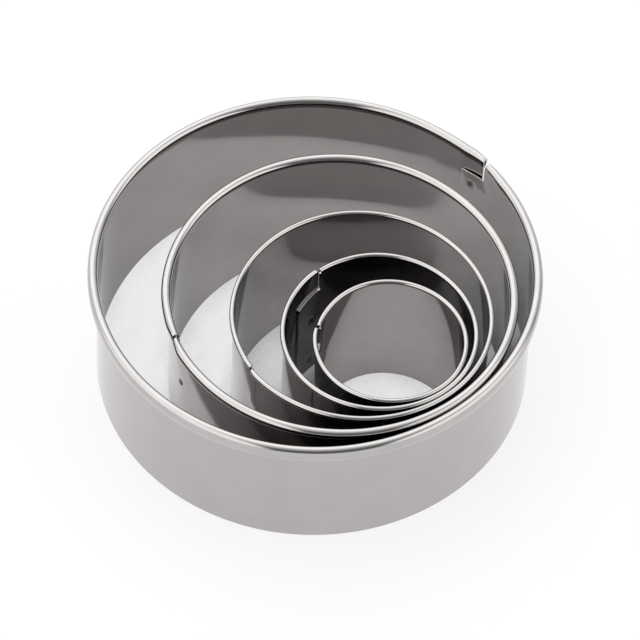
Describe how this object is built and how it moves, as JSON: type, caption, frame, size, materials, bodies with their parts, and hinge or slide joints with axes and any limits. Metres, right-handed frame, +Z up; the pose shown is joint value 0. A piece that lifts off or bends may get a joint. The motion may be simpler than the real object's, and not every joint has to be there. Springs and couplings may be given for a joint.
{
  "type": "round pastry cutter set",
  "caption": "Nested set of plain round pastry cutters: rings of thin polished steel sheet with a rolled rim and a lapped, spot-welded seam, each lifting out of the next.",
  "frame": {"origin": "centre of the largest cutter, on the plane of the cutting edges", "axes": "+Z up towards the rolled rims, -Y towards the viewer of the picture, +X to the viewer's right"},
  "size_m": [0.097, 0.097, 0.032],
  "materials": {
    "sheet_steel": "bright polished stainless sheet",
    "weld_steel": "dull spot weld"
  },
  "bodies": {
    "largest_cutter": {"largest_cutter_band": "sheet_steel", "largest_cutter_spot_welds": "weld_steel"},
    "large_cutter": {"large_cutter_band": "sheet_steel", "large_cutter_spot_welds": "weld_steel"},
    "middle_cutter": {"middle_cutter_band": "sheet_steel", "middle_cutter_spot_welds": "weld_steel"},
    "small_cutter": {"small_cutter_band": "sheet_steel", "small_cutter_spot_welds": "weld_steel"},
    "smallest_cutter": {"smallest_cutter_band": "sheet_steel", "smallest_cutter_spot_welds": "weld_steel"}
  },
  "joints": [
    {"name": "large_cutter_lift", "type": "slide", "parent": "largest_cutter", "child": "large_cutter", "axis": [0, 0, 1], "range_m": [0, 0.042]},
    {"name": "middle_cutter_lift", "type": "slide", "parent": "largest_cutter", "child": "middle_cutter", "axis": [0, 0, 1], "range_m": [0, 0.042]},
    {"name": "small_cutter_lift", "type": "slide", "parent": "largest_cutter", "child": "small_cutter", "axis": [0, 0, 1], "range_m": [0, 0.042]},
    {"name": "smallest_cutter_lift", "type": "slide", "parent": "largest_cutter", "child": "smallest_cutter", "axis": [0, 0, 1], "range_m": [0, 0.042]}
  ]
}
